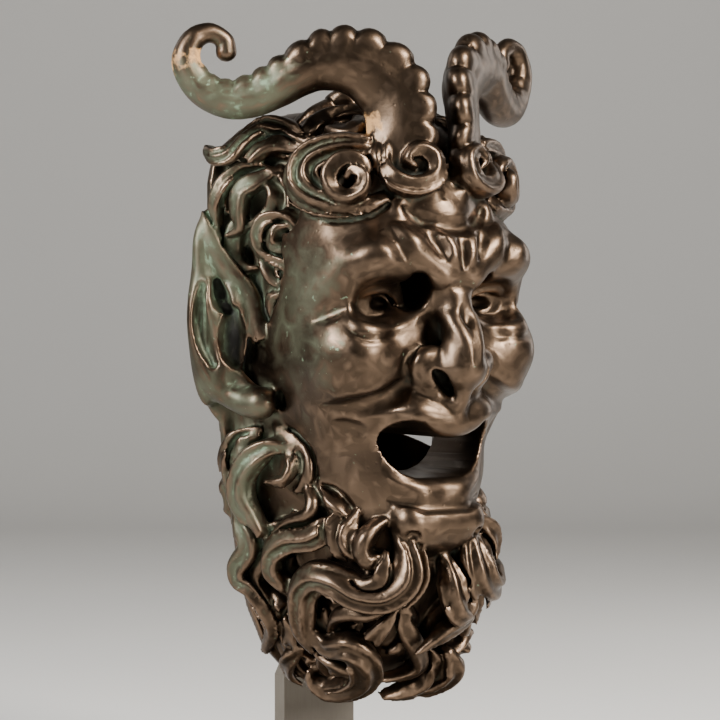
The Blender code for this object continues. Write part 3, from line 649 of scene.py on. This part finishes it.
nose = {
    # strokes: points, width, height; tubes: points, radii, blend; the wing's ball: centre, half sizes, blend
    "frown": ([(0, 114, 240), (0, 114, 228), (0, 113, 216)], 4.5, -4.5),
    "back": ([(0, 98, 220), (0, 104, 211), (0, 106, 203), (0, 109, 191), (0, 112, 181), (0, 113, 171)],
             [11, 9, 8.5, 9, 10.5, 12.5], 8),
    "foot": ([(0, 114, 164), (0, 113, 156), (0, 109, 150)], [5, 4, 4], 3),
    "valley": ([(0, 117, 204), (0, 117, 196), (0, 118, 189)], 4.6, -3.4),
    "wing": ((13, 100, 169), (10, 13, 11), 5),
}


def addNose(clay):
    clay.stroke(*nose["frown"])
    clay.tube(*nose["back"])
    clay.tube(*nose["foot"])
    clay.stroke(*nose["valley"])
    centre, half, blend = nose["wing"]
    for side in (-1, 1):
        clay.ball(onSide([centre], side)[0], half, blend)


def addFace(clay):
    addNose(clay)
    for width, height, spots in acrossStrokes.values():
        near = [spot for spot in onSkin(clay, spots) if spot[0] < -1]
        clay.stroke(near + onSide(near, -1)[::-1], width, height)
    for width, height, spots in faceStrokes.values():
        drawn(clay, spots, width, height)
    for radius, depth, spots in drillings.values():
        drilled(clay, spots, radius, depth)
    cutMouth(clay)


mouth = {
    # half of it: across, up
    "upper": [(0, 134), (7, 135), (13, 138), (18, 142.2), (23, 143.4), (28, 141.5), (31, 138.5), (37, 120)],
    "lower": [(0, 115), (14, 115.6), (21, 118), (26, 122.4), (29.5, 127.5), (32, 134), (37, 150)],
    "back": 40.0,
    "box": ((-44, 45, 104), (44, 140, 156)),
    "slope": 0.9,
    "blend": 2.0,
}


def cutMouth(clay):
    part, (x, f, z) = clay.window(*mouth["box"])
    ax = np.abs(x)
    top = np.interp(ax, *zip(*mouth["upper"]))
    low = np.interp(ax, *zip(*mouth["lower"]))
    shape = np.maximum(np.maximum(z - top, low - z) * mouth["slope"], mouth["back"] - f)
    clay.carve(part, shape, mouth["blend"])


ear = {
    # balls: centre and half sizes; rims: points (from the middle, forward, up) and a radius at each
    "cup": [((66, 3, 176), (20, 6.5, 38)), ((82, 6, 193), (10.5, 7.5, 44)),
            ((77, 12, 166), (10, 9, 15)), ((74, 14, 190), (9, 12, 26))],
    "lobe": ((67, 32, 151), (8.6, 9, 8.4)),
    "ballBlend": 4.0,
    "rims": [([(80, 8, 249), (85, 7, 240), (87, 7, 230), (86, 7, 219), (85, 8, 212)],
              [2.5, 3.4, 3.8, 3.6, 3]),
             ([(85, 7, 217), (89, 7, 208), (90.5, 7.5, 198), (90.5, 8, 188), (88, 9, 176),
               (83.5, 11, 165), (76, 16, 156), (70, 25, 151)], [2.5, 3.2, 3.6, 3.8, 4.6, 6, 6.8, 7.2]),
             ([(86, 12, 212), (86.5, 13, 202), (82.5, 14.5, 190), (79, 15.5, 178), (74, 18, 167),
               (68, 25, 158)], [2.2, 3.2, 3.4, 3.4, 3.6, 3.4]),
             ([(82, 14, 196), (77, 17, 201), (71, 20, 205)], [2.4, 2.4, 2.0])],
    "rimBlend": 2.5,
    "strap": [(84, 9, 248), (83, 11, 234), (78, 14, 222), (70.5, 19, 210), (66, 24, 197), (63.5, 29, 183)],
    "strapWidth": 16.0,
    "strapGrain": 0.1,
    "strapTilt": 0.5,
    "strapWidths": (0.45, 0.9, 1, 1, 0.75),
}
earHollows = {
    # radii in millimetres, depth, then pixels
    "concha": ((4.0, 6.6, 7.6, 6.4, 3.6), 6.5, [(234, 312), (234, 325), (234, 338), (234, 350), (238, 361)]),
    "upper pit": ((2.4, 4.0, 4.6, 3.0), 6, [(218, 282), (221, 292), (224, 301), (229, 310)]),
    "rim groove": ((2.2, 3.4, 3.8, 3.4, 2.2), 1.8,
                   [(204, 285), (202, 305), (202, 325), (206, 345), (215, 363)]),
    "gap at the hair": ((2.5, 4.0, 4.0, 2.5), 2, [(226, 243), (236, 246), (245, 253), (252, 268)]),
    "lobe gap": ((3, 3), 12, [(282, 394), (282, 402)]),
}


def addEar(clay, side):
    for centre, half in ear["cup"]:
        clay.ball(onSide([centre], side)[0], half, ear["ballBlend"])
    for points, radii in ear["rims"]:
        clay.tube(onSide(points, side), radii, ear["rimBlend"])
    centre, half = ear["lobe"]
    clay.ball(onSide([centre], side)[0], half, ear["ballBlend"])
    line, _ = smoothLine(onSide(ear["strap"], side), 0.0, 8)
    lock(clay, line, ear["strapWidth"], 1, gap=0, depth=ear["strapGrain"], tilt=ear["strapTilt"] * side,
         widths=ear["strapWidths"])


def addEarHollows(clay):
    for radius, depth, spots in earHollows.values():
        drilled(clay, spots, radius, depth)


# The hollow behind the face, and the plate that closes the beard's back

hollow = {
    "middle": [((0, 40, 222), (57, 46, 64)), ((0, 20, 170), (60, 36, 110)), ((0, 80, 148), (36, 24, 20)),
               ((0, 68, 92), (28, 22, 18))],
    "sides": [((20, 40, 185), (42, 46, 66)), ((16, 44, 120), (34, 46, 42)), ((30, 44, 226), (31, 44, 42)),
              ((38, 58, 178), (23, 34, 42)), ((14, 74, 112), (17, 19, 22))],
    "margin": 1.0,
    "blend": 3.0,
    "back": -30,  # ends of the room behind the hair and beard
    "foot": 12,
    "top": 289,
    "guardFrom": 8,  # further forward than this the wall is kept whole under every deep cut
    "plateTop": 137.0,
    "plateFall": 0.004,
    "plateFoot": 8.0,
    "plateInset": 1.0,
    "plateBox": ((-90, -14, -8), (90, 12, 150)),
    "plateBlend": 1.5,
}


def hollowOut(clay):
    less = cast["wall"] + hollow["margin"]
    core = Clay()
    for centre, half in hollow["middle"]:
        core.ball(centre, [h - less for h in half], hollow["blend"])
    for centre, half in hollow["sides"]:
        for side in (-1, 1):
            core.ball(onSide([centre], side)[0], [h - less for h in half], hollow["blend"])
    crestBody(core, crest["drop"] + cast["wall"], hollow["back"], hollow["foot"], hollow["top"])
    guard = clay.field + cast["wall"]
    f = clay.axes[1][None, :, None]
    inside = np.maximum(core.field, np.where(f > hollow["guardFrom"], guard, core.field))
    clay.field = np.maximum(clay.field, -inside)


def addPlate(clay):
    part, (x, f, z) = clay.window(*hollow["plateBox"])
    half, flare, _ = crestSizes(z)
    width = half + flare - crest["drop"] - hollow["plateInset"]
    top = hollow["plateTop"] - hollow["plateFall"] * x * x
    plate = np.maximum(np.abs(x) - width, z - top)
    plate = np.maximum(plate, np.maximum(hollow["plateFoot"] - z, f - cast["wall"]))
    clay.merge(part, plate, hollow["plateBlend"])


def flattenBack(clay):
    clay.field = np.maximum(clay.field, -clay.axes[1][None, :, None])
    for axis in range(3):
        for end in (0, -1):
            edge = [slice(None)] * 3
            edge[axis] = end
            clay.field[tuple(edge)] = cast["outside"]


def sculpt():
    clay = Clay()
    addHead(clay)
    for side in (-1, 1):
        addEye(clay, side)
    addFace(clay)
    report("head and features modelled")
    for side in (-1, 1):
        addEar(clay, side)
    addEarHollows(clay)
    addHair(clay)
    addBackRim(clay)
    for side in (-1, 1):
        addHorn(clay, side)
    hollowOut(clay)
    addPlate(clay)
    cutMouth(clay)
    flattenBack(clay)
    report("horns set and shell hollowed")
    return clay


# From clay to mesh

def placed(name, data):
    holder = bpy.data.objects.new(name, data)
    bpy.context.scene.collection.objects.link(holder)
    return holder


def largestBody(points, quads):
    label = np.arange(len(points))
    while True:
        lowest = label[quads].min(1)
        new = label.copy()
        for k in range(4):
            np.minimum.at(new, quads[:, k], lowest)
        new = new[new]
        if (new == label).all():
            break
        label = new
    names, counts = np.unique(label, return_counts=True)
    keep = label == names[np.argmax(counts)]
    order = np.cumsum(keep) - 1
    return points[keep], order[quads[keep[quads[:, 0]]]]


def blurred(block, reach):
    out = block
    for axis in range(3):
        pad = [(0, 0)] * 3
        pad[axis] = (reach + 1, reach)
        total = np.cumsum(np.pad(out, pad, mode="edge"), axis=axis, dtype=np.float32)
        high = np.take(total, np.arange(2 * reach + 1, total.shape[axis]), axis=axis)
        low = np.take(total, np.arange(0, total.shape[axis] - 2 * reach - 1), axis=axis)
        out = (high - low) / (2 * reach + 1)
    return out


def sampled(clay, block, spots):
    index = np.round((spots - clay.low) / clay.step).astype(int)
    index = np.clip(index, 0, np.array(block.shape) - 1)
    return block[index[:, 0], index[:, 1], index[:, 2]]


def buildMask():
    clay = sculpt()
    points, quads = largestBody(*clay.mesh())
    report("surface drawn, %d quads" % len(quads))
    mesh = bpy.data.meshes.new("bronze_mask")
    place = np.column_stack([points[:, 0], -points[:, 1], points[:, 2]]) * cast["unit"]
    place += np.array([0, cast["backPlane"], cast["beardTip"]])
    mesh.from_pydata(place.tolist(), [], quads.tolist())
    mesh.update()
    mask = placed("bronze_mask", mesh)
    if len(quads) * 2 > cast["faces"]:
        thin = mask.modifiers.new("thin", "DECIMATE")
        thin.ratio = cast["faces"] / (len(quads) * 2)
        thinned = bpy.data.meshes.new_from_object(mask.evaluated_get(bpy.context.evaluated_depsgraph_get()))
        mask.modifiers.clear()
        mask.data = thinned
        bpy.data.meshes.remove(mesh)
        thinned.name = "bronze_mask"
    mesh = mask.data
    mesh.shade_smooth()
    count = len(mesh.vertices)
    co = np.empty(count * 3, np.float32)
    mesh.vertices.foreach_get("co", co)
    co = co.reshape(-1, 3)
    spots = (co - np.array([0, cast["backPlane"], cast["beardTip"]])) / cast["unit"]
    spots[:, 1] *= -1
    solid = np.clip(0.5 - clay.field / clay.step, 0, 1)
    for name, millimetres in cast["hollows"].items():
        share = sampled(clay, blurred(solid, max(1, round(millimetres / clay.step))), spots)
        layer = mesh.attributes.new(name, "FLOAT", "POINT")
        layer.data.foreach_set("value", np.clip(share, 0, 1).astype(np.float32))
    report("cast finished, %d vertices" % count)
    return mask


# Materials

class Value:
    def __init__(self, board, socket):
        self.board = board
        self.socket = socket

    def __add__(self, other):
        return self.board.maths("ADD", self, other)

    def __sub__(self, other):
        return self.board.maths("SUBTRACT", self, other)

    def __rsub__(self, other):
        return self.board.maths("SUBTRACT", other, self)

    def __mul__(self, other):
        return self.board.maths("MULTIPLY", self, other)

    __radd__ = __add__
    __rmul__ = __mul__


class Board:
    def __init__(self, name):
        self.material = bpy.data.materials.new(name)
        self.material.use_nodes = True
        self.tree = self.material.node_tree
        self.shader = self.tree.nodes["Principled BSDF"]

    def plug(self, socket, value):
        if isinstance(value, Value):
            self.tree.links.new(value.socket, socket)
        else:
            socket.default_value = value

    def node(self, kind, settings=None, inputs=None, output=0):
        made = self.tree.nodes.new(kind)
        for key, value in (settings or {}).items():
            setattr(made, key, value)
        for key, value in (inputs or {}).items():
            self.plug(made.inputs[key], value)
        return Value(self, made.outputs[output])

    def maths(self, operation, a, b):
        return self.node("ShaderNodeMath", {"operation": operation}, {0: a, 1: b})

    def clamp(self, value, low=0.0, high=1.0):
        ends = {"Value": value, "From Min": low, "From Max": high}
        return self.node("ShaderNodeMapRange", {"clamp": True}, ends)

    def noise(self, where, scale, detail, roughness):
        inputs = {"Vector": where, "Scale": scale, "Detail": detail, "Roughness": roughness}
        return self.node("ShaderNodeTexNoise", {"noise_dimensions": "3D"}, inputs)

    def mix(self, share, a, b):
        return self.node("ShaderNodeMix", {"data_type": "RGBA"}, {0: share, 6: a, 7: b}, 2)

    def bump(self, height, strength, depth):
        return self.node("ShaderNodeBump", inputs={"Strength": strength, "Distance": depth, "Height": height})

    def set(self, **sockets):
        for name, value in sockets.items():
            self.plug(self.shader.inputs[name.replace("_", " ")], value)


def rgb(r, g, b):
    return (r, g, b, 1.0)


bronze = {
    "dark": rgb(0.026, 0.019, 0.013),
    "warm": rgb(0.070, 0.047, 0.031),
    "worn": rgb(0.170, 0.115, 0.078),
    "green": rgb(0.085, 0.110, 0.064),
    "paleGreen": rgb(0.180, 0.260, 0.165),
    # painted shadow: near-black mixed into hollows and ear pits where shade falls
    "paintedShadow": rgb(0.008, 0.007, 0.005),
    "ochre": rgb(0.50, 0.27, 0.10),
    "greenFrom": 0.038,  # the green of the near side starts this far from the middle
    "greenFade": 28.0,
    "greenTop": 0.385,  # and thins out on the horns, above this height
    "broad": (11.0, 4.0, 0.6),  # scale, detail and roughness of each noise
    "mottled": (48.0, 5.0, 0.65),
    "speckle": (240.0, 3.0, 0.6),
    "grain": (620.0, 2.0, 0.5),
    "pits": 170.0,
    "patchFull": 0.8,  # share of its reach over which a patch fades
    "polish": 0.31,  # roughness of the bare metal
    "bump": 0.30,
    "bumpDepth": 0.0012,
}
ochrePatches = [
    # filler at the near horn's foot and on its curl: centre and reach in mask millimetres
    ((-26, 78, 290), 11),
    ((-14, 92, 292), 7),
    ((-101, 20, 322), 13),
]
earShadePatches = [
    # painted shadow deep in the ears' hollows, where shade falls
    ((67, 9, 192), 13), ((66, 9, 178), 13), ((73, 9, 202), 8),
]


def patch(board, place, centre, reach):  # fades from a point, given in mask millimetres
    spot = Vector((centre[0] * cast["unit"], cast["backPlane"] - centre[1] * cast["unit"],
                   cast["beardTip"] + centre[2] * cast["unit"]))
    away = board.node("ShaderNodeVectorMath", {"operation": "DISTANCE"}, {0: place, 1: spot}, 1)
    return board.clamp(1.0 - away * (1.0 / (reach * cast["unit"])), 0.0, bronze["patchFull"])


def bronzeMaterial():
    board = Board("patinated_bronze")
    place = board.node("ShaderNodeTexCoord", output=3)
    fine = board.node("ShaderNodeAttribute", {"attribute_name": "fineHollow"}, output=2)
    wide = board.node("ShaderNodeAttribute", {"attribute_name": "wideHollow"}, output=2)
    broad = board.noise(place, *bronze["broad"])
    mottled = board.noise(place, *bronze["mottled"])
    speckle = board.noise(place, *bronze["speckle"])
    grain = board.noise(place, *bronze["grain"])
    pits = board.node("ShaderNodeTexVoronoi", {"feature": "F1"}, {"Vector": place, "Scale": bronze["pits"]})
    raised = board.clamp(1.0 - fine, 0.49, 0.70)
    sunk = board.clamp(fine, 0.53, 0.70)
    deep = board.clamp(wide, 0.55, 0.80)
    across = board.node("ShaderNodeSeparateXYZ", inputs={"Vector": place})
    height = board.node("ShaderNodeSeparateXYZ", inputs={"Vector": place}, output=2)
    nearSide = board.clamp((0.0 - across - bronze["greenFrom"]) * bronze["greenFade"], 0.0, 1.0)
    nearSide = nearSide * (1.0 - board.clamp((height - bronze["greenTop"]) * 60.0, 0.0, 1.0) * 0.55)
    brown = board.mix(board.clamp(mottled * 0.35 + broad * 0.65, 0.10, 0.75), bronze["dark"], bronze["warm"])
    rubbed = board.clamp(raised * 0.8 + mottled * 0.12 + broad * 0.20 - nearSide * 0.20, 0.06, 1.00)
    metal = board.mix(rubbed * 0.85, brown, bronze["worn"])
    moss = sunk * 0.30 + deep * 0.45 + broad * 0.8 + mottled * 0.45 + nearSide * 0.66 - raised * 0.30
    mossy = board.clamp(moss, 0.95, 1.50)
    coated = board.mix(mossy * 0.80, metal, bronze["green"])
    coated = board.mix(board.clamp(mossy * speckle, 0.36, 0.56) * 0.6, coated, bronze["paleGreen"])
    spots = board.clamp(speckle + nearSide * 0.04, 0.71, 0.77)
    coated = board.mix(spots * 0.5, coated, bronze["paleGreen"])
    # painted shade: hollows darkened towards near-black by their depth, where shade falls
    shade = board.clamp(deep + sunk * 0.5, 0.35, 1.20)
    coated = board.mix(shade * 0.85, coated, bronze["paintedShadow"])
    ochre = 0.0
    for centre, reach in ochrePatches:
        ochre = ochre + patch(board, place, centre, reach)
    # painted shadow: near-black patches in the ears' hollows stand in for shade
    earShade = 0.0
    for centre, reach in earShadePatches:
        for side in (-1, 1):
            earShade = earShade + patch(board, place, onSide([centre], side)[0], reach)
    earShaded = board.clamp(earShade * 1.6, 0.0, 0.9) * board.clamp(fine, 0.40, 0.54)
    coated = board.mix(earShaded, coated, bronze["paintedShadow"])
    crumb = board.clamp(ochre * 0.8 + speckle * 0.9 + mottled * 0.3, 0.78, 1.02)
    crumb = crumb * board.clamp(ochre, 0.02, 0.25)
    coated = board.mix(crumb, coated, bronze["ochre"])
    bare = board.clamp(1.0 - mossy * 0.75 - spots * 0.4 - crumb - earShade, 0.0, 1.0)
    rough = bronze["polish"] + mottled * 0.08 + mossy * 0.24 + shade * 0.18 + crumb * 0.4
    relief = mottled * 0.16 + speckle * 0.20 + grain * 0.08 + board.clamp(pits, 0.0, 0.15) * 0.22
    bump = board.bump(relief, bronze["bump"], bronze["bumpDepth"])
    board.set(Base_Color=coated, Metallic=bare, Roughness=rough, Normal=bump)
    return board.material


stand = {
    "shade": rgb(0.115, 0.098, 0.078),
    "light": rgb(0.155, 0.135, 0.108),
    "brushed": (900.0, 3.0, 0.6),  # scale, detail and roughness of each noise
    "cloud": (18.0, 4.0, 0.6),
    "streak": (1.0, 1.0, 0.08),  # the brushing runs up and down
    "metallic": 0.35,
    "rough": 0.42,
    "roughSpread": 0.12,
    "bump": 0.15,
    "bumpDepth": 0.0004,
}


def standMaterial():
    board = Board("stand_metal")
    place = board.node("ShaderNodeTexCoord", output=3)
    streaks = board.node("ShaderNodeMapping", inputs={"Vector": place, "Scale": stand["streak"]})
    brushed = board.noise(streaks, *stand["brushed"])
    cloud = board.noise(place, *stand["cloud"])
    tone = board.clamp(cloud * 0.7 + brushed * 0.3, 0.35, 0.65)
    colour = board.mix(tone, stand["shade"], stand["light"])
    bump = board.bump(brushed, stand["bump"], stand["bumpDepth"])
    board.set(Base_Color=colour, Metallic=stand["metallic"],
              Roughness=stand["rough"] + brushed * stand["roughSpread"], Normal=bump)
    return board.material


studio = {
    "floorShade": rgb(0.62, 0.61, 0.59),
    "floorLight": rgb(0.66, 0.65, 0.63),
    "floorNoise": (3.0, 2.0, 0.5),
    "floorRough": 0.85,
    "air": rgb(0.070, 0.068, 0.065),  # the grey light of the room
    "halfWidth": 4.0,
    "front": -3.0,
    "back": 2.5,  # the wall stands well back from the mask
    "height": 3.2,
    "bend": 0.8,
}


def floorMaterial():
    board = Board("pale_floor")
    place = board.node("ShaderNodeTexCoord", output=3)
    cloud = board.noise(place, *studio["floorNoise"])
    board.set(Base_Color=board.mix(cloud, studio["floorShade"], studio["floorLight"]),
              Roughness=studio["floorRough"])
    return board.material


# Stage, light and camera

view = {
    "azimuth": -34.0,
    "elevation": 2.0,
    "distance": 1.5,
    "lens": 147.0,
    "sensor": 36.0,
    "aim": (-0.013, -0.042, 0.172),  # from the foot of the mask's back: x, y and z
}


def addFloor():
    back, bend = studio["back"], studio["bend"]
    curve = [(back - bend + bend * math.sin(a), bend - bend * math.cos(a))
             for a in np.linspace(0, math.pi / 2, 14)]
    profile = [(studio["front"], 0.0)] + curve + [(back, studio["height"])]
    turn = math.radians(view["azimuth"])
    c, s = math.cos(turn), math.sin(turn)
    points = [(across * c - along * s, across * s + along * c, up)
              for along, up in profile for across in (-studio["halfWidth"], studio["halfWidth"])]
    faces = [(2 * i, 2 * i + 1, 2 * i + 3, 2 * i + 2) for i in range(len(profile) - 1)]
    mesh = bpy.data.meshes.new("floor_sweep")
    mesh.from_pydata(points, [], faces)
    mesh.shade_smooth()
    mesh.materials.append(floorMaterial())
    floor = placed("floor_sweep", mesh)


lights = {
    # place, size, power, tint
    "key_front": ((0.30, -0.95, 1.00), (0.42, 0.34), 36, (1.0, 0.95, 0.88)),
    "low_front": ((0.30, -1.30, 0.42), (0.20, 0.30), 12, (1.0, 0.97, 0.92)),
    "left_high": ((-1.25, 0.00, 0.85), (0.40, 0.55), 38, (0.98, 0.99, 1.0)),
    "rim_right": ((1.10, 0.10, 0.50), (0.25, 0.8), 3, (1.0, 0.97, 0.93)),
    "back_fill": ((-0.60, 1.40, 1.10), (0.6, 0.6), 2.5, (1.0, 1.0, 1.0)),
}


def addLights(aim):
    for name, (place, size, power, tint) in lights.items():
        lamp = bpy.data.lights.new(name, "AREA")
        lamp.shape = "RECTANGLE"
        lamp.size, lamp.size_y = size
        lamp.energy, lamp.color = power, tint
        holder = placed(name, lamp)
        holder.location = place
        holder.rotation_euler = (aim - Vector(place)).to_track_quat("-Z", "Y").to_euler()
    world = bpy.data.worlds.new("studio")
    world.use_nodes = True
    world.node_tree.nodes["Background"].inputs[0].default_value = studio["air"]
    bpy.context.scene.world = world


def addCamera():
    azimuth, elevation = math.radians(view["azimuth"]), math.radians(view["elevation"])
    back = Vector((math.sin(azimuth) * math.cos(elevation), -math.cos(azimuth) * math.cos(elevation),
                   math.sin(elevation)))
    aim = Vector(view["aim"]) + Vector((0, cast["backPlane"], cast["beardTip"]))
    lens = bpy.data.cameras.new("photo_view")
    lens.lens = view["lens"]
    lens.sensor_width = view["sensor"]
    camera = placed("photo_view", lens)
    camera.location = aim + back * view["distance"]
    camera.rotation_euler = (-back).to_track_quat("-Z", "Y").to_euler()
    bpy.context.scene.camera = camera
    return aim


mask = buildMask()
mask.data.materials.append(bronzeMaterial())
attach(mask, "root")
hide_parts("mask")
steel = standMaterial()
for name in ("post", "cross_arm", "foot_plate"):
    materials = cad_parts[name].data.materials
    materials.clear()
    materials.append(steel)
addFloor()
aim = addCamera()
addLights(aim)
report("stage set")
